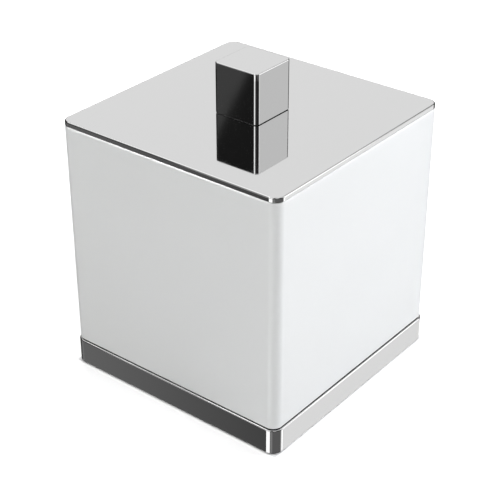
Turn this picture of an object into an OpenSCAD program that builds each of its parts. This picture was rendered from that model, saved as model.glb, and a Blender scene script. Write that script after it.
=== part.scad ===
// Square lidded jar for cotton pads: a white cast box on a plated plinth, closed by a
// plated plate lid that lifts off by a cube knob. All sizes are millimetres. The jar
// stands on z = 0, centred on the Z axis, and its front is the -Y side.

/* [Box] */
// Outer width of the square box
body_w = 100; // [80:1:140]
// Height of the box that shows between the plinth and the lid
body_h = 93; // [60:0.2:140]
// Wall of the box
body_wall = 4; // [3:0.5:7]
// Radius of the four upright corners
body_corner_r = 4; // [3:0.5:8]
// Radius of the upright corners inside
cavity_corner_r = 3; // [2.6:0.2:8]
// Radius where the inner floor meets the walls
cavity_cove_r = 2; // [0.5:0.5:2.5]
// Thickness of the floor
body_floor_t = 4; // [3:0.5:8]
// Height of the inner floor over the foot of the outer walls
floor_rise = 1; // [0:0.5:3]
// Rounding of the rim's outer edge
rim_outer_r = 1; // [0.2:0.1:1.2]
// Rounding of the mouth's inner edge
rim_inner_r = 0.5; // [0.2:0.1:1]
// Rounding of the walls' lower outer edge
foot_edge_r = 0.3; // [0.1:0.1:0.6]

/* [Plinth] */
// How far the plinth stands out past the box on each side
tray_overhang = 0.5; // [0.3:0.1:4]
// Height of the plinth tray
tray_h = 10.4; // [9:0.2:20]
// Side wall of the tray
tray_wall = 2; // [1.5:0.1:3]
// Floor of the tray
tray_floor_t = 3; // [2.6:0.2:5]
// Rounding of the tray's upper outer edge
tray_edge_r = 0.5; // [0.1:0.05:0.5]
// Rounding of the tray's lower outer edge
tray_foot_r = 0.3; // [0.1:0.05:0.5]
// Gap round the spigot of the box inside the tray
spigot_clear = 0.3; // [0.1:0.1:1]
// Wall of the spigot under the box
spigot_wall = 4; // [3:0.5:6]

/* [Seam seal] */
// Thickness of the seal between the tray's rim and the box
seam_seal_t = 0.5; // [0.2:0.1:2]
// How far the seal lies back from the box's outer face
seam_seal_inset = 0.4; // [0.2:0.1:0.8]

/* [Foot pad] */
// Thickness of the non-slip pad
pad_t = 1; // [0.8:0.1:2]
// Depth of the recess that holds the pad
pad_recess = 0.5; // [0.3:0.1:0.6]
// Border of the tray's underside left round the recess
pad_border = 3.5; // [2:0.5:5]
// Gap round the pad in its recess
pad_clear = 0.1; // [0.05:0.05:0.5]
// Radius of the pad's corners
pad_corner_r = 2; // [1:0.5:6]

/* [Plinth screws] */
// Thread diameter of the countersunk screws
base_screw_d = 3; // [2.5:0.5:3]
// Length of the countersunk screws
base_screw_len = 6; // [5:0.5:6]
// Diameter of the countersunk heads
base_head_d = 5.6; // [5:0.2:6]
// Size across the corners of their hexagon sockets
base_socket_d = 2.3; // [1.5:0.1:2.4]
// Depth of their hexagon sockets
base_socket_depth = 1; // [0.6:0.1:1.2]
// Diameter of the clearance holes in the tray
base_hole_d = 3.4; // [3.2:0.1:4]
// Gap between a countersunk head and its seat
head_seat_clear = 0.05; // [0.02:0.01:0.1]

/* [Threaded inserts] */
// Length of the threaded inserts
insert_len = 4; // [3:0.5:4]
// Diameter of the inserts between their knurls
insert_core_d = 4.2; // [4:0.1:4.3]
// Diameter of the inserts' bosses in the box
boss_d = 8; // [7:0.5:11]
// Diameter of the holes for the inserts
insert_hole_d = 4.4; // [4.4:0.1:4.8]
// How far the knurls bite into the holes, on the radius
insert_bite = 0.1; // [0.05:0.05:0.15]
// Length of each knurl
knurl_len = 1.2; // [0.8:0.1:1.3]
// Free depth of the holes beyond the inserts
insert_hole_spare = 0.5; // [0.2:0.1:0.7]
// How far the bosses grow into the spigot's wall
boss_sink = 1; // [0.5:0.5:2]
// Gap on the radius between a thread and its hole
thread_clear = 0.05; // [0.02:0.01:0.1]

/* [Lid] */
// Thickness of the lid plate
lid_t = 2; // [1.5:0.1:5]
// Rounding of the plate's upper outer edges
lid_edge_r = 0.5; // [0.1:0.05:0.8]
// Rounding of the plate's lower outer edges
lid_foot_r = 0.3; // [0.1:0.05:0.6]

/* [Knob] */
// Width of the square knob
knob_w = 20; // [18:1:30]
// Height of the knob over its gasket
knob_h = 19.7; // [14:0.1:40]
// Radius of the knob's upright edges
knob_corner_r = 1.5; // [0.6:0.1:3]
// Rounding of the knob's top edges
knob_edge_r = 0.35; // [0.1:0.05:0.5]
// Thread diameter of the knob's screw
knob_screw_d = 4; // [3:0.5:5]
// Length of the knob's screw
knob_screw_len = 12; // [10:1:14]
// Diameter of its head
knob_head_d = 8; // [6.5:0.5:9]
// Height of its head
knob_head_h = 2.8; // [2.4:0.1:3]
// Radius of the head's domed top
knob_head_dome_r = 7; // [6:0.5:12]
// Size across the corners of its hexagon socket
knob_socket_d = 3.4; // [2.8:0.1:3.6]
// Depth of its hexagon socket
knob_socket_depth = 1.8; // [1:0.1:2]
// Free depth of the threaded hole beyond the screw
knob_hole_spare = 2; // [1:0.5:3]
// Outer diameter of the washer
washer_d = 9; // [9:0.5:10]
// Thickness of the washer
washer_t = 0.8; // [0.5:0.1:1]
// Gap on the radius round the screw in the washer, the plate and the locator
screw_clear = 0.15; // [0.1:0.05:0.3]
// Diameter of the dowels that keep the knob square
dowel_d = 2; // [1.5:0.5:2.5]
// Depth of the dowels in the knob
dowel_depth = 4; // [3:0.5:6]
// Depth of the dowels in the locator
dowel_tail = 1.5; // [1:0.1:1.5]
// Distance of each dowel from the knob's axis
dowel_offset = 6; // [5.5:0.1:6.5]
// Gap on the radius between a dowel and its holes
dowel_clear = 0.02; // [0.01:0.01:0.05]
// Thickness of the gasket between the knob and the plate
knob_gasket_t = 0.3; // [0.2:0.1:1]
// How far the gasket lies back from the knob's faces
knob_gasket_inset = 0.2; // [0.1:0.1:0.5]

/* [Lid locator] */
// Gap between the locator and the mouth of the box on each side
locator_clear = 0.7; // [0.5:0.1:1.2]
// Depth of the locator below the lid plate
locator_depth = 7; // [6.6:0.1:10]
// Thickness of its web
locator_web_t = 2.5; // [2.4:0.1:3]
// Wall of its rim
locator_wall = 2.2; // [2.2:0.1:4]
// Rounding of its lower outer edge
locator_edge_r = 1; // [0.3:0.1:1.3]
// Inner diameter of the well round the screw head
well_d = 11; // [10.5:0.5:13]
// Wall of the well
well_wall = 1.5; // [1:0.1:3]
// Depth of the well below the web
well_depth = 4; // [3:0.1:4]
// Thickness of the locator's ribs
rib_t = 1.6; // [1:0.1:3]
// Height of the ribs below the web
rib_h = 2.5; // [1:0.1:4]

/* [Lid seal] */
// Gap between the lid seal and the mouth of the box on each side
lid_seal_clear = 0.3; // [0.2:0.1:0.4]
// Width of the seal's section
lid_seal_w = 2; // [1.2:0.1:2.2]
// Height of the seal's section
lid_seal_h = 1.5; // [0.8:0.1:1.8]

/* [Hidden] */
$fn = 64;
// how far a cutter runs past the face that it opens
over = 1;

// heights, from the surface that the jar stands on
tray_z = pad_t - pad_recess;
pad_roof_z = tray_z + pad_recess;
tray_floor_z = tray_z + tray_floor_t;
tray_rim_z = tray_z + tray_h;
shoulder_z = tray_rim_z + seam_seal_t;
cavity_z = shoulder_z + floor_rise;
pocket_roof_z = cavity_z - body_floor_t;
rim_z = shoulder_z + body_h;
lid_top_z = rim_z + lid_t;
knob_z = lid_top_z + knob_gasket_t;
web_z = rim_z - locator_web_t;
locator_z = rim_z - locator_depth;
washer_z = web_z - washer_t;

// plan sizes
tray_w = body_w + 2 * tray_overhang;
tray_corner_r = body_corner_r + tray_overhang;
tray_cavity_w = tray_w - 2 * tray_wall;
tray_cavity_r = max(tray_corner_r - tray_wall, 1);
spigot_w = tray_cavity_w - 2 * spigot_clear;
spigot_r = max(tray_cavity_r - spigot_clear, 0.7);
pocket_w = spigot_w - 2 * spigot_wall;
cavity_w = body_w - 2 * body_wall;
recess_w = tray_w - 2 * pad_border;
locator_w = cavity_w - 2 * locator_clear;
locator_r = cavity_corner_r - locator_clear;
lid_seal_outer_w = cavity_w - 2 * lid_seal_clear;
lid_seal_inner_w = lid_seal_outer_w - 2 * lid_seal_w;
lid_seal_outer_r = cavity_corner_r - lid_seal_clear;
lid_seal_inner_r = max(lid_seal_outer_r - lid_seal_w, 0.4);

// the plinth's screws stand at the middle of each side
screw_offset = (pocket_w - boss_d) / 2 + boss_sink;
base_head_h = (base_head_d - base_screw_d) / 2;
knob_grip = knob_screw_len - washer_t - locator_web_t - lid_t - knob_gasket_t;

// a square of width w with corners of radius r
module rounded_square(w, r) {
    square([w - 2 * r, w], center = true);
    square([w, w - 2 * r], center = true);
    for (x = [-1, 1], y = [-1, 1])
        translate([x * (w / 2 - r), y * (w / 2 - r)]) circle(r);
}

// a rounded square from height z0 up to height z1
module slab(w, r, z0, z1) {
    translate([0, 0, z0]) linear_extrude(z1 - z0) rounded_square(w, r);
}

// carries a profile round a rounded square. The profile's x starts at the centre of the
// corner's arc and points outwards, and its y is the height.
module round_the_square(w, r) {
    side = w - 2 * r;
    for (turn = [0, 90, 180, 270])
        rotate([0, 0, turn]) translate([side / 2, side / 2, 0]) {
            rotate_extrude(angle = 90) children();
            rotate([90, 0, 0]) linear_extrude(side) children();
        }
}

// what a rounding of radius e takes off a square edge, with the arc's centre at the origin
module edge_waste(e) {
    difference() {
        square(e + over / 2);
        circle(e);
    }
}

// cutter that rounds the outer edge of a slab's top at height z
module round_top_edge(w, r, z, e) {
    translate([0, 0, z]) round_the_square(w, r) translate([r - e, -e]) edge_waste(e);
}

// cutter that rounds the outer edge of a slab's underside at height z
module round_bottom_edge(w, r, z, e) {
    translate([0, 0, z]) mirror([0, 0, 1]) round_top_edge(w, r, 0, e);
}

// cutter that rounds the edge of an opening of width w at height z
module round_mouth_edge(w, r, z, e) {
    translate([0, 0, z]) round_the_square(w, r)
        translate([r + e, -e]) mirror([1, 0]) edge_waste(e);
}

// puts its children at the middle of each side
module at_each_side() {
    for (turn = [0, 90, 180, 270])
        rotate([0, 0, turn]) translate([screw_offset, 0, 0]) children();
}

module cavity() {
    difference() {
        slab(cavity_w, cavity_corner_r, cavity_z, rim_z + over);
        round_bottom_edge(cavity_w, cavity_corner_r, cavity_z, cavity_cove_r);
    }
    round_mouth_edge(cavity_w, cavity_corner_r, rim_z, rim_inner_r);
}

module underside_pocket() {
    difference() {
        slab(pocket_w, spigot_r, tray_floor_z - over, pocket_roof_z);
        at_each_side() translate([0, 0, tray_floor_z])
            cylinder(d = boss_d, h = pocket_roof_z - tray_floor_z + over);
    }
}

module body_shell() {
    color([0.82, 0.83, 0.83]) difference() {
        union() {
            slab(body_w, body_corner_r, shoulder_z, rim_z);
            slab(spigot_w, spigot_r, tray_floor_z, shoulder_z + over);
        }
        cavity();
        underside_pocket();
        round_top_edge(body_w, body_corner_r, rim_z, rim_outer_r);
        round_bottom_edge(body_w, body_corner_r, shoulder_z, foot_edge_r);
        at_each_side() translate([0, 0, tray_floor_z - over])
            cylinder(d = insert_hole_d, h = insert_len + insert_hole_spare + over);
    }
}

module base_tray() {
    color([0.72, 0.73, 0.75]) difference() {
        slab(tray_w, tray_corner_r, tray_z, tray_rim_z);
        slab(tray_cavity_w, tray_cavity_r, tray_floor_z, tray_rim_z + over);
        slab(recess_w, pad_corner_r, tray_z - over, pad_roof_z);
        round_top_edge(tray_w, tray_corner_r, tray_rim_z, tray_edge_r);
        round_bottom_edge(tray_w, tray_corner_r, tray_z, tray_foot_r);
        at_each_side() translate([0, 0, pad_roof_z]) {
            cylinder(d = base_hole_d, h = tray_floor_t + over);
            countersink(head_seat_clear);
        }
    }
}

// the cone of a countersunk head, opening downwards, grown by a gap on the radius
module countersink(gap) {
    cylinder(d1 = base_head_d + 2 * gap, d2 = base_screw_d + 2 * gap, h = base_head_h);
}

module base_seal() {
    seal_w = body_w - 2 * seam_seal_inset;
    seal_r = body_corner_r - seam_seal_inset;
    color([0.08, 0.08, 0.08]) difference() {
        slab(seal_w, seal_r, tray_rim_z, shoulder_z);
        slab(tray_cavity_w, tray_cavity_r, tray_rim_z - over, shoulder_z + over);
    }
}

module threaded_inserts() {
    knurl_d = insert_hole_d + 2 * insert_bite;
    color([0.78, 0.62, 0.30]) at_each_side() translate([0, 0, tray_floor_z])
        difference() {
            union() {
                cylinder(d = insert_core_d, h = insert_len);
                cylinder(d = knurl_d, h = knurl_len);
                translate([0, 0, insert_len - knurl_len]) cylinder(d = knurl_d, h = knurl_len);
            }
            translate([0, 0, -over])
                cylinder(d = base_screw_d + 2 * thread_clear, h = insert_len + 2 * over);
        }
}

module base_screws() {
    color([0.60, 0.61, 0.63]) at_each_side() translate([0, 0, pad_roof_z])
        difference() {
            union() {
                countersink(0);
                cylinder(d = base_screw_d, h = base_screw_len);
            }
            translate([0, 0, -over])
                cylinder(d = base_socket_d, h = base_socket_depth + over, $fn = 6);
        }
}

module foot_pad() {
    color([0.12, 0.12, 0.12])
        slab(recess_w - 2 * pad_clear, pad_corner_r - pad_clear, 0, pad_t);
}

// the holes of the knob's screw and dowels, from height z0 up to z1
module knob_fixings(z0, z1) {
    translate([0, 0, z0]) cylinder(d = knob_screw_d + 2 * screw_clear, h = z1 - z0);
    at_each_dowel() translate([0, 0, z0])
        cylinder(d = dowel_d + 2 * dowel_clear, h = z1 - z0);
}

module at_each_dowel() {
    for (side = [-1, 1]) translate([side * dowel_offset, 0, 0]) children();
}

module lid_plate() {
    color([0.75, 0.76, 0.78]) difference() {
        slab(body_w, body_corner_r, rim_z, lid_top_z);
        knob_fixings(rim_z - over, lid_top_z + over);
        round_top_edge(body_w, body_corner_r, lid_top_z, lid_edge_r);
        round_bottom_edge(body_w, body_corner_r, rim_z, lid_foot_r);
    }
}

module knob_gasket() {
    color([0.08, 0.08, 0.08]) difference() {
        slab(knob_w - 2 * knob_gasket_inset, knob_corner_r - knob_gasket_inset, lid_top_z, knob_z);
        knob_fixings(lid_top_z - over, knob_z + over);
    }
}

module knob() {
    knob_top_z = knob_z + knob_h;
    color([0.72, 0.73, 0.75]) difference() {
        slab(knob_w, knob_corner_r, knob_z, knob_top_z);
        round_top_edge(knob_w, knob_corner_r, knob_top_z, knob_edge_r);
        translate([0, 0, knob_z - over])
            cylinder(d = knob_screw_d + 2 * thread_clear, h = knob_grip + knob_hole_spare + over);
        at_each_dowel() translate([0, 0, knob_z - over])
            cylinder(d = dowel_d + 2 * dowel_clear, h = dowel_depth + over);
    }
}

module knob_dowels() {
    color([0.55, 0.56, 0.58]) at_each_dowel() translate([0, 0, rim_z - dowel_tail])
        cylinder(d = dowel_d, h = dowel_tail + lid_t + knob_gasket_t + dowel_depth);
}

module knob_screw() {
    color([0.60, 0.61, 0.63]) translate([0, 0, washer_z]) difference() {
        union() {
            cylinder(d = knob_screw_d, h = knob_screw_len);
            translate([0, 0, -knob_head_h]) intersection() {
                cylinder(d = knob_head_d, h = knob_head_h);
                translate([0, 0, knob_head_dome_r]) sphere(knob_head_dome_r);
            }
        }
        translate([0, 0, -knob_head_h - over])
            cylinder(d = knob_socket_d, h = knob_socket_depth + over, $fn = 6);
    }
}

module knob_washer() {
    color([0.65, 0.66, 0.68]) translate([0, 0, washer_z]) difference() {
        cylinder(d = washer_d, h = washer_t);
        translate([0, 0, -over])
            cylinder(d = knob_screw_d + 2 * screw_clear, h = washer_t + 2 * over);
    }
}

// the ribs and the screw's well under the locator's web
module locator_stiffening() {
    for (turn = [0, 90]) rotate([0, 0, turn])
        translate([-(locator_w - locator_wall) / 2, -rib_t / 2, web_z - rib_h])
            cube([locator_w - locator_wall, rib_t, rib_h]);
    translate([0, 0, web_z - well_depth]) cylinder(d = well_d + 2 * well_wall, h = well_depth);
}

module lid_locator() {
    rim_inner_w = locator_w - 2 * locator_wall;
    rim_inner_corner_r = max(locator_r - locator_wall, 0.4);
    seat_z = rim_z - lid_seal_h;
    color([0.90, 0.90, 0.89]) difference() {
        union() {
            difference() {
                slab(locator_w, locator_r, locator_z, seat_z);
                slab(rim_inner_w, rim_inner_corner_r, locator_z - over, web_z);
                round_bottom_edge(locator_w, locator_r, locator_z, locator_edge_r);
            }
            slab(lid_seal_inner_w, lid_seal_inner_r, web_z, rim_z);
            locator_stiffening();
        }
        translate([0, 0, web_z - well_depth - over]) cylinder(d = well_d, h = well_depth + over);
        translate([0, 0, web_z - over])
            cylinder(d = knob_screw_d + 2 * screw_clear, h = locator_web_t + 2 * over);
        at_each_dowel() translate([0, 0, rim_z - dowel_tail])
            cylinder(d = dowel_d + 2 * dowel_clear, h = dowel_tail + over);
    }
}

module lid_seal() {
    color([0.85, 0.86, 0.87]) difference() {
        slab(lid_seal_outer_w, lid_seal_outer_r, rim_z - lid_seal_h, rim_z);
        slab(lid_seal_inner_w, lid_seal_inner_r, rim_z - lid_seal_h - over, rim_z + over);
    }
}

body_shell();
base_tray();
base_seal();
threaded_inserts();
base_screws();
foot_pad();
lid_plate();
knob_gasket();
knob();
knob_dowels();
knob_screw();
knob_washer();
lid_locator();
lid_seal();
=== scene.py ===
# Square jar for cotton pads: a white satin box on a chromed plinth, and a chromed lid with a cube knob.
import math

import bpy
import numpy as np
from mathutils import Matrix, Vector
from mathutils.geometry import tessellate_polygon


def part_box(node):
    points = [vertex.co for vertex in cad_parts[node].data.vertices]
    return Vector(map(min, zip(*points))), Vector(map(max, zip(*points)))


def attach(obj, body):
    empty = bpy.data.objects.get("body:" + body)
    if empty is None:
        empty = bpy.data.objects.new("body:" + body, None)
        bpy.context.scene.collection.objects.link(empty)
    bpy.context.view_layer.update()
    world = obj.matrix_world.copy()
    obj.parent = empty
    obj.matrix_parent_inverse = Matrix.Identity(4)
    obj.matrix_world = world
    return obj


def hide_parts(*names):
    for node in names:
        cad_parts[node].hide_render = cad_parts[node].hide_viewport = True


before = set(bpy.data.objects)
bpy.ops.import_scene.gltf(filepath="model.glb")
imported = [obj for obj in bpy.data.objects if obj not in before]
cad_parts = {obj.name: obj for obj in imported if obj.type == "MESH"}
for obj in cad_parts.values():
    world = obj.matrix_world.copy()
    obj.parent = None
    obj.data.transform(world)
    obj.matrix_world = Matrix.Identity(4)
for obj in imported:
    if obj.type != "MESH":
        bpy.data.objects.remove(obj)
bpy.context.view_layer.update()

mm = 0.001  # one millimetre in scene units


# the sRGB curve: colours are written as sRGB hex, and shaders want them linear
def linearFromHex(code):
    srgb = np.array([int(code[i:i + 2], 16) for i in (1, 3, 5)]) / 255
    linear = np.where(srgb <= 0.04045, srgb / 12.92, ((srgb + 0.055) / 1.055) ** 2.4)
    return (*linear.tolist(), 1.0)


# adds one node; sockets are named or numbered, and each gets a value or another node's output
def addNode(tree, kind, sockets=None, **settings):
    node = tree.nodes.new(kind)
    for name, value in settings.items():
        setattr(node, name, value)
    for socket, value in (sockets or {}).items():
        if isinstance(value, bpy.types.NodeSocket):
            tree.links.new(value, node.inputs[socket])
        else:
            node.inputs[socket].default_value = value
    return node


def mathOf(tree, operation, *values):
    return addNode(tree, "ShaderNodeMath", dict(enumerate(values)), operation=operation).outputs[0]


def vectorMathOf(tree, operation, *values):
    return addNode(tree, "ShaderNodeVectorMath", dict(enumerate(values)), operation=operation).outputs


# goes from one value to the other as the factor goes from 0 to 1
def blendOf(tree, factor, first, last):
    return addNode(tree, "ShaderNodeMix", {0: factor, 2: first, 3: last}).outputs[0]


# stretches one span of values to another
def spanOf(tree, value, fromSpan, toSpan=(0.0, 1.0), kind="LINEAR"):
    return addNode(tree, "ShaderNodeMapRange", {
        "Value": value, "From Min": fromSpan[0], "From Max": fromSpan[1],
        "To Min": toSpan[0], "To Max": toSpan[1]}, interpolation_type=kind).outputs[0]


# Shapes

# how many straight steps make a corner of a square, a rounding of a section and a round hole
fineness = {"corner": 14, "bend": 6, "hole": 32}


# points round a square with rounded corners: the corner that each belongs to, and the way it faces
def squareWalk():
    turns = np.arange(4) * math.pi / 2
    sweep = np.linspace(0, math.pi / 2, fineness["corner"] + 1)
    angle = (turns[:, None] + sweep).ravel()
    middle = np.repeat(turns + math.pi / 4, fineness["corner"] + 1)
    corner = np.sign(np.stack([np.cos(middle), np.sin(middle)], axis=1))
    return corner, np.stack([np.cos(angle), np.sin(angle)], axis=1)


# the same for a circle, whose corners all lie at its centre
def roundWalk():
    angle = np.arange(fineness["hole"]) * 2 * math.pi / fineness["hole"]
    return np.zeros((len(angle), 2)), np.stack([np.cos(angle), np.sin(angle)], axis=1)


# A section is walked from its start (half width, corner radius, height). "to" goes straight to a
# station, and "bend" is a quarter round: start + radius * (sin t * heading + (1 - cos t) * newHeading).
# Each stretch keeps the normals of its two ends, (heading z, -heading width), so flats stay flat.
def walkSection(start, moves):
    stations, normals = [np.array(start, float)], []
    heading = None
    for kind, *what in moves:
        here = stations[-1]
        if kind == "to":
            there = np.array(what, float)
            heading = (there - here)[[0, 2]] / np.hypot(*(there - here)[[0, 2]])
            stations.append(there)
            normals.append([(heading[1], -heading[0])] * 2)
        else:
            radius, newHeading = what[0], np.array(what[1], float)
            angles = np.linspace(0, math.pi / 2, fineness["bend"] + 1)[:, None]
            shift = radius * (np.sin(angles) * heading + (1 - np.cos(angles)) * newHeading)
            along = np.cos(angles) * heading + np.sin(angles) * newHeading
            stations += list(here + np.stack([shift[:, 0], shift[:, 0], shift[:, 1]], axis=1)[1:])
            across = np.stack([along[:, 1], -along[:, 0]], axis=1)
            normals += [[across[i], across[i + 1]] for i in range(fineness["bend"])]
            heading = newHeading
    return np.array(stations), np.array(normals)


# Carries a section round a walk: point = centre + corner * (half width - radius) + outward * radius, at
# the station's height. Gives the points, the quads, a normal for each of their corners and the end rims.
def carrySection(walk, start, moves, ring=False, centre=(0, 0)):
    corner, outward = walk
    stations, normals = walkSection(start, moves)
    if ring:
        stations = stations[:-1]
    half, radius, height = stations.T[:, :, None, None]
    flat = corner * (half - radius) + outward * radius + np.array(centre)
    lift = np.broadcast_to(height, (*flat.shape[:2], 1))
    points = np.concatenate([flat, lift], axis=2).reshape(-1, 3)
    rims = np.arange(len(points)).reshape(len(stations), -1)
    row = np.arange(len(normals))
    here, there = rims[row], rims[(row + 1) % len(rims)]
    quads = np.stack([here, np.roll(here, -1, 1), np.roll(there, -1, 1), there], axis=2).reshape(-1, 4)
    ends = normals[:, None, [0, 0, 1, 1]]
    nextOutward = np.roll(outward, -1, 0)
    level = ends[..., :1] * np.stack([outward, nextOutward, nextOutward, outward], axis=1)
    upright = np.broadcast_to(ends[..., 1:], (*level.shape[:3], 1))
    cornerNormals = np.concatenate([level, upright], axis=3).reshape(-1, 3)
    return points, quads, cornerNormals, (rims[0], rims[-1])


# a round skin about an upright axis, from (radius, height) pairs
def roundSkin(place, profile):
    start, *others = [(radius, radius, height) for radius, height in profile]
    return carrySection(roundWalk(), start, [("to", *station) for station in others], centre=place)


# flat faces that fill a rim, turned up (1) or down (-1); any further rims are holes in it
def flatFaces(points, rims, facing):
    if len(rims) == 1:
        return [rims[0][::facing].tolist()]
    loops = [[Vector(points[i]) for i in rim] for rim in rims]
    faces = np.concatenate(rims)[np.array(tessellate_polygon(loops))]
    first, second, third = (points[faces[:, k], :2] for k in range(3))
    (ax, ay), (bx, by) = (second - first).T, (third - first).T
    wrong = (ax * by - ay * bx) * facing < 0
    faces[wrong] = faces[wrong][:, ::-1]
    return faces.tolist()


# A solid from a section carried round a square, from its lower flat end to its upper one. A ring has its
# last station joined to its first. Each round is a kind, a place and a profile of (radius, height) pairs
# from the top down: a hole goes through both ends, a well is blind and opens in the lower one, and a
# boss hangs below the solid and is a well's profile followed by the boss's own.
def squareSolid(name, start, moves, ring=False, rounds=()):
    skins = [carrySection(squareWalk(), start, moves, ring)]
    skins += [roundSkin(place, profile) for kind, place, profile in rounds]
    offsets = np.cumsum([0] + [len(skin[0]) for skin in skins])
    points = np.concatenate([skin[0] for skin in skins])
    faces = [quad for skin, offset in zip(skins, offsets) for quad in (skin[1] + offset).tolist()]
    cornerNormals = np.concatenate([skin[2] for skin in skins]).tolist()
    ends, *roundEnds = [(skin[3][0] + offset, skin[3][1] + offset) for skin, offset in zip(skins, offsets)]
    lower, upper, flats = [ends[0]], [ends[1]], []
    for (kind, *_), (high, low) in zip(rounds, roundEnds):
        if kind == "hole":
            upper.append(high)
        else:
            flats.append(([high], -1))
        if kind == "boss":
            flats.append(([low], 1))
        else:
            lower.append(low)
    if not ring:
        flats += [(lower, -1), (upper, 1)]
    for rims, facing in flats:
        filled = flatFaces(points, rims, facing)
        faces += filled
        cornerNormals += [(0, 0, facing)] * sum(len(face) for face in filled)
    mesh = bpy.data.meshes.new(name)
    mesh.from_pydata(points.tolist(), [], faces)
    mesh.polygons.foreach_set("use_smooth", np.ones(len(faces), bool))
    mesh.update()
    mesh.normals_split_custom_set(cornerNormals)
    piece = bpy.data.objects.new(name, mesh)
    bpy.context.scene.collection.objects.link(piece)
    return piece


# seats a new piece in the frame in place of a CAD node
def standFor(piece, node, body, finish):
    piece.data.materials.append(finish)
    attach(piece, body)
    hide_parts(node)
    print("made", piece.name, "for", node)


# half width, bottom and top of a CAD node
def extent(node):
    low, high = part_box(node)
    return high.x, low.z, high.z


# Finishes

# a Principled material with the coordinates that its patterns read
def newFinish(name, baseHex, metallic, roughness, **sockets):
    finish = bpy.data.materials.new(name)
    finish.use_nodes = True
    tree = finish.node_tree
    shader = tree.nodes["Principled BSDF"]
    shader.inputs["Base Color"].default_value = linearFromHex(baseHex)
    shader.inputs["Metallic"].default_value = metallic
    shader.inputs["Roughness"].default_value = roughness
    for socket, value in sockets.items():
        shader.inputs[socket].default_value = value
    place = addNode(tree, "ShaderNodeTexCoord").outputs["Object"]
    return finish, tree, shader, place


# noise whose lumps are about size across, in metres
def noiseOf(tree, place, size, detail=2.0):
    sockets = {"Vector": place, "Scale": 1 / size, "Detail": detail}
    return addNode(tree, "ShaderNodeTexNoise", sockets).outputs[0]


# roughness that wanders between two values
def wanderRoughness(tree, shader, pattern, low, high):
    tree.links.new(blendOf(tree, pattern, low, high), shader.inputs["Roughness"])


# colour that wanders between two shades
def wanderColour(tree, shader, pattern, hexA, hexB):
    blend = addNode(tree, "ShaderNodeMix", data_type="RGBA", sockets={
        0: pattern, 6: linearFromHex(hexA), 7: linearFromHex(hexB)})
    tree.links.new(blend.outputs[2], shader.inputs["Base Color"])


# relief of the given depth in metres
def relief(tree, shader, pattern, depth):
    bump = addNode(tree, "ShaderNodeBump", {"Height": pattern, "Distance": depth, "Strength": 1.0})
    tree.links.new(bump.outputs[0], shader.inputs["Normal"])


satinLook = {"hexA": "#ECEDEC", "hexB": "#E8E9E8", "ior": 1.5, "roughLow": 0.25, "roughHigh": 0.35,
             "toneSize": 45 * mm, "peelSize": 1.6 * mm, "peelDepth": 0.0015 * mm}


# cast polyresin, sprayed with a white satin lacquer: an even soft sheen with the faintest orange peel
def satinLacquer():
    look = satinLook
    finish, tree, shader, place = newFinish(
        "satinLacquerOnCastResin", look["hexA"], 0.0, look["roughLow"], IOR=look["ior"])
    tone = noiseOf(tree, place, look["toneSize"])
    wanderColour(tree, shader, tone, look["hexA"], look["hexB"])
    wanderRoughness(tree, shader, tone, look["roughLow"], look["roughHigh"])
    relief(tree, shader, noiseOf(tree, place, look["peelSize"]), look["peelDepth"])
    return finish


chromeLook = {"hex": "#DCDCDC", "roughLow": 0.01, "roughHigh": 0.06,
              "wipeSize": 9 * mm, "wipeStretch": (1.0, 0.25, 1.0), "wipeDetail": 4.0}


# brass, buffed and chromium plated: a near mirror, with a trace of haze where it was wiped
def platedChrome():
    look = chromeLook
    finish, tree, shader, place = newFinish("chromePlatedBrass", look["hex"], 1.0, look["roughLow"])
    stretched = addNode(tree, "ShaderNodeMapping", {"Vector": place, "Scale": look["wipeStretch"]}).outputs[0]
    wipes = noiseOf(tree, stretched, look["wipeSize"], look["wipeDetail"])
    wanderRoughness(tree, shader, wipes, look["roughLow"], look["roughHigh"])
    return finish


siliconeLook = {"ior": 1.41, "grain": 0.5 * mm, "depth": 0.004 * mm}


# moulded silicone: matt and slightly dusty, black in the seam and milky under the lid
def silicone(name, baseHex, roughness):
    look = siliconeLook
    finish, tree, shader, place = newFinish(name, baseHex, 0.0, roughness, IOR=look["ior"])
    relief(tree, shader, noiseOf(tree, place, look["grain"]), look["depth"])
    return finish


absLook = {"hex": "#E6E6E3", "ior": 1.54, "roughness": 0.5, "spark": 0.35 * mm, "sparkDetail": 3.0,
           "depth": 0.008 * mm}


# injection moulded ABS with a spark eroded texture: white, fine grained and dull
def mouldedAbs():
    look = absLook
    finish, tree, shader, place = newFinish(
        "sparkTexturedAbs", look["hex"], 0.0, look["roughness"], IOR=look["ior"])
    relief(tree, shader, noiseOf(tree, place, look["spark"], look["sparkDetail"]), look["depth"])
    return finish


foamLook = {"hexA": "#1B1B1C", "hexB": "#29292A", "roughness": 0.85, "cell": 0.9 * mm, "depth": 0.03 * mm}


# black EVA foam, die cut from sheet: matt, with small closed cells
def evaFoam():
    look = foamLook
    finish, tree, shader, place = newFinish("closedCellEvaFoam", look["hexA"], 0.0, look["roughness"])
    cells = addNode(tree, "ShaderNodeTexVoronoi", {"Vector": place, "Scale": 1 / look["cell"]}).outputs[0]
    wanderColour(tree, shader, cells, look["hexA"], look["hexB"])
    relief(tree, shader, cells, look["depth"])
    return finish


metalLook = {"toolMark": 0.12 * mm, "depth": 0.001 * mm, "wander": 0.2}


# a turned or ground metal with fine tool marks; its roughness wanders by a share of itself
def turnedMetal(name, baseHex, roughness):
    look = metalLook
    finish, tree, shader, place = newFinish(name, baseHex, 1.0, roughness)
    marks = noiseOf(tree, place, look["toolMark"])
    wanderRoughness(tree, shader, marks, roughness * (1 - look["wander"]), roughness * (1 + look["wander"]))
    relief(tree, shader, marks, look["depth"])
    return finish


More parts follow.
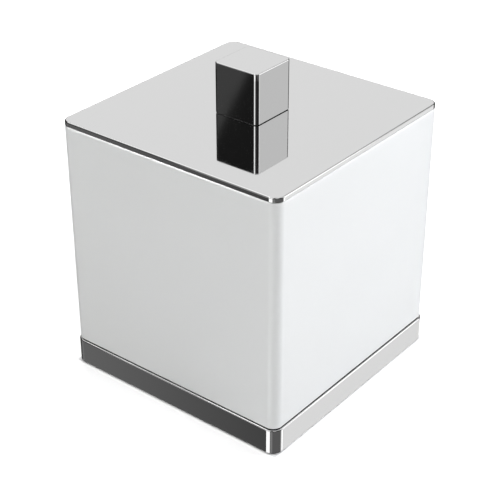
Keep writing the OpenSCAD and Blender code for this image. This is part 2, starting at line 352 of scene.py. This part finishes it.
satin = satinLacquer()
chrome = platedChrome()
blackRubber = silicone("blackSilicone", baseHex="#0E0E0F", roughness=0.6)
milkyRubber = silicone("milkySilicone", baseHex="#D6D8DA", roughness=0.45)
print("finishes of the new pieces made")

# The fasteners' distances from the axis and their places, which several pieces share

fastenersAt = {"baseScrew": 41.2 * mm, "dowel": 6 * mm}
baseScrewPlaces = [(x * fastenersAt["baseScrew"], y * fastenersAt["baseScrew"])
                   for x, y in ((1, 0), (0, 1), (-1, 0), (0, -1))]
dowelPlaces = [(side * fastenersAt["dowel"], 0) for side in (-1, 1)]
onAxis = (0, 0)


# a round of one radius, for squareSolid
def straight(kind, place, radius, high, low):
    return kind, place, [(radius, high), (radius, low)]


# The box: a hollow spigot with a screw boss at each side, and above it the walls, with their rim and cove

boxSizes = {"cornerRadius": 4 * mm, "wall": 4 * mm, "cavityRadius": 3 * mm, "cavityFloor": 12.4 * mm,
            "cove": 2 * mm, "floorInset": 2.5 * mm, "rimOuter": 1.0 * mm, "rimInner": 0.5 * mm,
            "footEdge": 0.3 * mm, "spigotHalf": 48.2 * mm, "spigotRadius": 2.2 * mm,
            "pocketHalf": 44.2 * mm, "pocketRoof": 8.4 * mm, "bossRadius": 4 * mm, "bossRoot": 0.5 * mm,
            "insertHole": 2.2 * mm, "insertHoleTop": 8 * mm}


def makeBox():
    sizes = boxSizes
    half, bottom, top = extent("body_shell")
    shoulder = extent("base_seal")[2]
    radius, inner, innerRadius = sizes["cornerRadius"], half - sizes["wall"], sizes["cavityRadius"]
    footEdge, rimOuter, rimInner = sizes["footEdge"], sizes["rimOuter"], sizes["rimInner"]
    boss = [(sizes["insertHole"], sizes["insertHoleTop"]), (sizes["insertHole"], bottom),
            (sizes["bossRadius"], bottom), (sizes["bossRadius"], sizes["pocketRoof"] + sizes["bossRoot"])]
    return squareSolid("satinBox", (sizes["pocketHalf"], sizes["spigotRadius"], sizes["pocketRoof"]), [
        ("to", sizes["pocketHalf"], sizes["spigotRadius"], bottom),
        ("to", sizes["spigotHalf"], sizes["spigotRadius"], bottom),
        ("to", sizes["spigotHalf"], sizes["spigotRadius"], shoulder),
        ("to", half - footEdge, radius - footEdge, shoulder),
        ("bend", footEdge, (0, 1)),
        ("to", half, radius, top - rimOuter),
        ("bend", rimOuter, (-1, 0)),
        ("to", inner + rimInner, innerRadius + rimInner, top),
        ("bend", rimInner, (0, -1)),
        ("to", inner, innerRadius, sizes["cavityFloor"] + sizes["cove"]),
        ("bend", sizes["cove"], (-1, 0)),
        ("to", inner - sizes["floorInset"], innerRadius - sizes["floorInset"], sizes["cavityFloor"])],
        rounds=[("boss", place, boss) for place in baseScrewPlaces])


standFor(makeBox(), "body_shell", "jar", satin)

# The plinth: a tray with a recess below for the foot pad and four countersunk screw holes

plinthSizes = {"cornerRadius": 4.5 * mm, "wall": 2 * mm, "innerRadius": 2.5 * mm, "floor": 3.5 * mm,
               "edge": 0.5 * mm, "footEdge": 0.3 * mm,
               "recessHalf": 47 * mm, "recessRadius": 2 * mm, "recessTop": 1 * mm,
               "screwHole": 1.7 * mm, "sinkRadius": 2.85 * mm, "sinkTop": 2.15 * mm}


def makePlinth():
    sizes = plinthSizes
    half, bottom, top = extent("base_tray")
    radius, inner, innerRadius = sizes["cornerRadius"], half - sizes["wall"], sizes["innerRadius"]
    edge, footEdge = sizes["edge"], sizes["footEdge"]
    screwHole = [(sizes["screwHole"], sizes["floor"]), (sizes["screwHole"], sizes["sinkTop"]),
                 (sizes["sinkRadius"], sizes["recessTop"])]
    return squareSolid("chromePlinth", (sizes["recessHalf"], sizes["recessRadius"], sizes["recessTop"]), [
        ("to", sizes["recessHalf"], sizes["recessRadius"], bottom),
        ("to", half - footEdge, radius - footEdge, bottom),
        ("bend", footEdge, (0, 1)),
        ("to", half, radius, top - edge),
        ("bend", edge, (-1, 0)),
        ("to", inner, innerRadius, top),
        ("to", inner, innerRadius, sizes["floor"])],
        rounds=[("hole", place, screwHole) for place in baseScrewPlaces])


standFor(makePlinth(), "base_tray", "jar", chrome)


# a seal: a ring of oblong section
def sealRing(name, sizes, bottom, top):
    half, radius = sizes["half"], sizes["radius"]
    innerHalf, innerRadius = sizes["innerHalf"], sizes["innerRadius"]
    return squareSolid(name, (half, radius, bottom), [
        ("to", half, radius, top),
        ("to", innerHalf, innerRadius, top),
        ("to", innerHalf, innerRadius, bottom),
        ("to", half, radius, bottom)], ring=True)


# The seal in the seam between the plinth and the box

seamSizes = {"half": 49.6 * mm, "radius": 3.6 * mm, "innerHalf": 48.5 * mm, "innerRadius": 2.5 * mm}
standFor(sealRing("seamSeal", seamSizes, *extent("base_seal")[1:]), "base_seal", "jar", blackRubber)

# The lid plate, with holes for the knob's screw and dowels

plateSizes = {"cornerRadius": 4 * mm, "edge": 0.5 * mm, "footEdge": 0.3 * mm, "footInset": 1 * mm,
              "screwHole": 2.15 * mm, "dowelHole": 1.02 * mm}


def makePlate():
    sizes = plateSizes
    half, bottom, top = extent("lid_plate")
    radius, edge, footEdge = sizes["cornerRadius"], sizes["edge"], sizes["footEdge"]
    return squareSolid("chromePlate", (half - sizes["footInset"], radius - sizes["footInset"], bottom), [
        ("to", half - footEdge, radius - footEdge, bottom),
        ("bend", footEdge, (0, 1)),
        ("to", half, radius, top - edge),
        ("bend", edge, (-1, 0))],
        rounds=[straight("hole", onAxis, sizes["screwHole"], top, bottom)] + [
            straight("hole", place, sizes["dowelHole"], top, bottom) for place in dowelPlaces])


standFor(makePlate(), "lid_plate", "lid", chrome)

# The knob, with wells for its screw and dowels

knobSizes = {"cornerRadius": 1.5 * mm, "edge": 0.35 * mm, "threadHole": 2.05 * mm, "threadDepth": 8.4 * mm,
             "dowelHole": 1.02 * mm, "dowelDepth": 4 * mm}


def makeKnob():
    sizes = knobSizes
    half, bottom, top = extent("knob")
    radius, edge = sizes["cornerRadius"], sizes["edge"]
    return squareSolid("cubeKnob", (half, radius, bottom), [
        ("to", half, radius, top - edge),
        ("bend", edge, (-1, 0))],
        rounds=[straight("well", onAxis, sizes["threadHole"], bottom + sizes["threadDepth"], bottom)] + [
            straight("well", place, sizes["dowelHole"], bottom + sizes["dowelDepth"], bottom)
            for place in dowelPlaces])


standFor(makeKnob(), "knob", "lid", chrome)

# The seal round the lid's locator

lidHalf, *lidHeights = extent("lid_seal")
lidSealSizes = {"half": lidHalf, "radius": 2.7 * mm, "innerHalf": 43.7 * mm, "innerRadius": 0.7 * mm}
standFor(sealRing("lidSealRing", lidSealSizes, *lidHeights), "lid_seal", "lid", milkyRubber)

# Pieces that keep the shape of the frame

keptFinishes = {
    "lid_locator": mouldedAbs(),
    "foot_pad": evaFoam(),
    "knob_gasket": blackRubber,
    "threaded_inserts": turnedMetal("turnedBrass", baseHex="#C9A05A", roughness=0.25),
    "base_screws": turnedMetal("zincPlatedSteel", baseHex="#A9ADB2", roughness=0.3),
    "knob_screw": turnedMetal("zincPlatedSteelScrew", baseHex="#A9ADB2", roughness=0.3),
    "knob_washer": turnedMetal("zincPlatedSteelWasher", baseHex="#AEB2B6", roughness=0.32),
    "knob_dowels": turnedMetal("groundSteel", baseHex="#9A9DA1", roughness=0.2),
}
for node, finish in keptFinishes.items():
    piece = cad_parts[node]
    piece.data.materials.clear()
    piece.data.materials.append(finish)
print("finishes of the kept pieces made:", len(keptFinishes))

# The studio

# angles in degrees, lens and sensor in the camera's own millimetres
photoView = {"azimuth": 38.36, "elevation": 30.5, "distance": 0.528, "aimHeight": 46.4 * mm,
             "aimLeft": 0.88 * mm, "lens": 96.74, "sensor": 36}


def makeCamera():
    view = photoView
    azimuth, elevation = math.radians(view["azimuth"]), math.radians(view["elevation"])
    back = Vector((math.sin(azimuth) * math.cos(elevation), -math.cos(azimuth) * math.cos(elevation),
                   math.sin(elevation)))
    right = Vector((math.cos(azimuth), math.sin(azimuth), 0))
    aim = Vector((0, 0, view["aimHeight"])) - right * view["aimLeft"]
    data = bpy.data.cameras.new("photoCamera")
    data.lens, data.sensor_width = view["lens"], view["sensor"]
    camera = bpy.data.objects.new("photoCamera", data)
    camera.location = aim + back * view["distance"]
    camera.rotation_mode = "QUATERNION"
    camera.rotation_quaternion = (-back).to_track_quat("-Z", "Y")
    bpy.context.scene.collection.objects.link(camera)
    bpy.context.scene.camera = camera


makeCamera()

# the glow goes from near to far over the fade, and starts at the edge of the jar's footprint, so the floor
# under the plinth's edge is left dark: a painted contact shadow
floorLook = {"half": 6.0, "below": 0.02 * mm, "hex": "#F2F2F2", "nearGlow": 0.42, "farGlow": 1.0,
             "fade": (0.2, 0.7), "contactShadowEdge": (50.45 * mm, 50.55 * mm)}


# A plain pale floor. The camera sees it lifted towards white, wholly so far away and not at all under the
# jar, where the unlifted floor is a painted contact shadow along the plinth's foot; the cast shadow stays.
# From below it is clear, so the foot can be looked at.
def floorFinish():
    look = floorLook
    finish = bpy.data.materials.new("paleFloor")
    finish.use_nodes = True
    tree = finish.node_tree
    tree.nodes.clear()
    place = addNode(tree, "ShaderNodeTexCoord").outputs["Object"]
    sides = addNode(tree, "ShaderNodeSeparateXYZ", {0: vectorMathOf(tree, "ABSOLUTE", place)[0]}).outputs
    reach = mathOf(tree, "MAXIMUM", sides[0], sides[1])
    glow = spanOf(tree, reach, look["fade"], (look["nearGlow"], look["farGlow"]), "SMOOTHSTEP")
    # painted contact shadow: no camera glow inside the jar's footprint, so the floor just under the plinth's
    # edge stays dark
    contactShadeMask = spanOf(tree, reach, look["contactShadowEdge"])
    cameraRay = addNode(tree, "ShaderNodeLightPath").outputs["Is Camera Ray"]
    strength = mathOf(tree, "MULTIPLY", cameraRay, mathOf(tree, "MULTIPLY", glow, contactShadeMask))
    lift = addNode(tree, "ShaderNodeEmission", {"Strength": strength}).outputs[0]
    matt = addNode(tree, "ShaderNodeBsdfDiffuse", {"Color": linearFromHex(look["hex"])}).outputs[0]
    above = addNode(tree, "ShaderNodeAddShader", {0: matt, 1: lift}).outputs[0]
    below = addNode(tree, "ShaderNodeBsdfTransparent").outputs[0]
    fromBelow = addNode(tree, "ShaderNodeNewGeometry").outputs["Backfacing"]
    shown = addNode(tree, "ShaderNodeMixShader", {0: fromBelow, 1: above, 2: below}).outputs[0]
    addNode(tree, "ShaderNodeOutputMaterial", {"Surface": shown})
    return finish


def makeFloor():
    half, height = floorLook["half"], -floorLook["below"]
    mesh = bpy.data.meshes.new("floor")
    corners = [(x * half, y * half, height) for x, y in ((-1, -1), (1, -1), (1, 1), (-1, 1))]
    mesh.from_pydata(corners, [], [(0, 1, 2, 3)])
    mesh.materials.append(floorFinish())
    floor = bpy.data.objects.new("floor", mesh)
    bpy.context.scene.collection.objects.link(floor)
    floor.visible_glossy = False


makeFloor()

# What polished metal sees: cards round the jar, each a patch of bearing and height in degrees. Wide and
# tall count from a card's middle to its edge. Bearings are counted as the camera's azimuth is, and each
# later card lies over the earlier ones.
surround = {"base": 0.127, "ambient": 0.07, "cards": [
    # the pale backdrop, brighter low on the right, and the dark strips on it that outline the far edges
    {"bearing": 180, "height": 0, "wide": 62, "tall": 78, "soft": 3, "light": 0.935},
    {"bearing": 146, "height": -26, "wide": 9, "tall": 5, "soft": 2, "light": 1.06},
    {"bearing": 180, "height": 0, "wide": 29, "tall": 32, "soft": 1.5, "light": 0.05},
    {"bearing": 180, "height": 46, "wide": 14, "tall": 16, "soft": 1.5, "light": 0.05},
    {"bearing": -140, "height": 4, "wide": 20, "tall": 10, "soft": 3, "light": 0.2},
    # the dark left of the room, and its soft sheen low down
    {"bearing": -70, "height": -7, "wide": 48, "tall": 43, "soft": 3, "light": 0.054},
    {"bearing": -92, "height": 25, "wide": 36, "tall": 15, "soft": 2, "light": 0.01},
    {"bearing": -60, "height": -36, "wide": 16, "tall": 16, "soft": 24, "light": 0.209},
    {"bearing": -42, "height": 25, "wide": 9, "tall": 7, "soft": 2, "light": 0.083},
    {"bearing": -31.4, "height": 28.8, "wide": 9, "tall": 12, "soft": 0.35, "turn": 29.7, "light": 0.016},
    # the soft boxes on the upper left
    {"bearing": -93, "height": 54, "wide": 45, "tall": 14, "soft": 3, "light": 1.0},
    {"bearing": -118, "height": 55, "wide": 20, "tall": 14, "soft": 3, "light": 1.5},
    {"bearing": -57.8, "height": 57, "wide": 14, "tall": 5, "soft": 1, "turn": -26.6, "light": 3.0},
    # the tall strip in front, fainter halfway up, the dark above it and its fainter neighbour below
    {"bearing": -32, "height": 3, "wide": 4.5, "tall": 14, "soft": 1, "light": 0.6},
    {"bearing": -10, "height": 0, "wide": 18, "tall": 80, "soft": 1.5, "light": 1.5},
    {"bearing": -10, "height": -1, "wide": 19, "tall": 19.5, "soft": 8, "light": 0.6},
    {"bearing": 39, "height": 32, "wide": 31, "tall": 27, "soft": 1, "light": 0.038},
    {"bearing": 85, "height": 32, "wide": 16, "tall": 27, "soft": 1, "light": 0.013},
    {"bearing": 23, "height": -32, "wide": 9, "tall": 28, "soft": 6, "light": 0.25},
    # the narrow strip on the right
    {"bearing": 135.5, "height": 0, "wide": 4, "tall": 80, "soft": 1, "light": 2.0},
    # the key light, and the dark under everything
    {"bearing": 56, "height": 50, "wide": 20, "tall": 12, "soft": 3, "light": 1.2},
    {"bearing": 0, "height": -90, "wide": 181, "tall": 36, "soft": 8, "light": 0.02},
]}
wrapLimits = (math.pi, 9, 9)  # bearings go round, and heights never reach their limit


# How much of one card covers each direction: the way from the card's middle, measured along the card's
# own two sides, inside both soft edges.
def cardCover(tree, way, card):
    middle = (math.radians(card["bearing"]), math.radians(card["height"]), 0)
    off = vectorMathOf(tree, "SUBTRACT", way, middle)[0]
    near = vectorMathOf(tree, "WRAP", off, wrapLimits, tuple(-limit for limit in wrapLimits))[0]
    turn, soft = math.radians(card.get("turn", 0)), math.radians(card["soft"])
    covers = []
    for side, angle in (("wide", turn), ("tall", turn + math.pi / 2)):
        axis = (math.cos(angle), math.sin(angle), 0)
        along = mathOf(tree, "ABSOLUTE", vectorMathOf(tree, "DOT_PRODUCT", near, axis)["Value"])
        limit = math.radians(card[side])
        covers.append(spanOf(tree, along, (limit + soft / 2, limit - soft / 2), kind="SMOOTHSTEP"))
    return mathOf(tree, "MULTIPLY", *covers)


# the camera sees plain white, glossy rays see the cards, and all others see an even dim light
def makeSurround():
    world = bpy.data.worlds.new("studio")
    bpy.context.scene.world = world
    world.use_nodes = True
    tree = world.node_tree
    tree.nodes.clear()
    direction = addNode(tree, "ShaderNodeTexCoord").outputs["Generated"]
    ray = addNode(tree, "ShaderNodeSeparateXYZ", {0: direction}).outputs
    bearing = mathOf(tree, "ARCTAN2", ray[0], mathOf(tree, "MULTIPLY", ray[1], -1.0))
    height = mathOf(tree, "ARCSINE", ray[2])
    way = addNode(tree, "ShaderNodeCombineXYZ", {0: bearing, 1: height}).outputs[0]
    light = surround["base"]
    for card in surround["cards"]:
        light = blendOf(tree, cardCover(tree, way, card), light, card["light"])
    path = addNode(tree, "ShaderNodeLightPath").outputs
    seen = blendOf(tree, path["Is Glossy Ray"], surround["ambient"], light)
    shown = blendOf(tree, path["Is Camera Ray"], seen, 1.0)
    back = addNode(tree, "ShaderNodeBackground", {"Color": (1, 1, 1, 1), "Strength": shown}).outputs[0]
    addNode(tree, "ShaderNodeOutputWorld", {"Surface": back})


makeSurround()

# soft boxes: place and size in metres and power in watts; a sheen-only one shows in gloss and lights nothing
lampAim = (0, 0, 60 * mm)
softBoxes = {
    "leftKey": {"at": (-0.36, -0.42, 0.50), "size": 0.12, "watts": 1.2, "hex": "#FFFFFF"},
    "frontKey": {"at": (0.50, -0.60, 0.66), "size": 0.15, "watts": 2.85, "hex": "#FFFFFF"},
    "rightKey": {"at": (0.30, 0.22, 0.42), "size": 0.15, "watts": 1.95, "hex": "#F8FAFF"},
    "overhead": {"at": (0.0, 0.0, 1.6), "size": 0.5, "watts": 4.0, "hex": "#FFFFFF"},
    "backLeft": {"at": (-0.55, 0.55, 0.80), "size": 0.5, "watts": 4.0, "hex": "#FFFFFF"},
    "rimSheen": {"at": (-0.46, -0.47, 0.55), "size": 0.15, "watts": 6.0, "hex": "#FFFFFF", "sheenOnly": True},
}


# The lamps light everything but the polished metal, which mirrors the cards alone.
def makeSoftBoxes():
    polished = bpy.data.collections.new("polishedMetal")
    for name in ("chromePlinth", "chromePlate", "cubeKnob"):
        polished.objects.link(bpy.data.objects[name])
    for member in polished.collection_objects:
        member.light_linking.link_state = "EXCLUDE"
    for name, box in softBoxes.items():
        data = bpy.data.lights.new(name, "AREA")
        data.energy, data.size = box["watts"], box["size"]
        data.color = linearFromHex(box["hex"])[:3]
        lamp = bpy.data.objects.new(name, data)
        lamp.location = box["at"]
        lamp.rotation_mode = "QUATERNION"
        lamp.rotation_quaternion = (Vector(lampAim) - Vector(box["at"])).to_track_quat("-Z", "Y")
        lamp.visible_camera = False
        lamp.visible_diffuse = not box.get("sheenOnly", False)
        lamp.light_linking.receiver_collection = polished
        bpy.context.scene.collection.objects.link(lamp)


makeSoftBoxes()
bpy.context.scene.view_settings.view_transform = "Standard"
print("studio made")
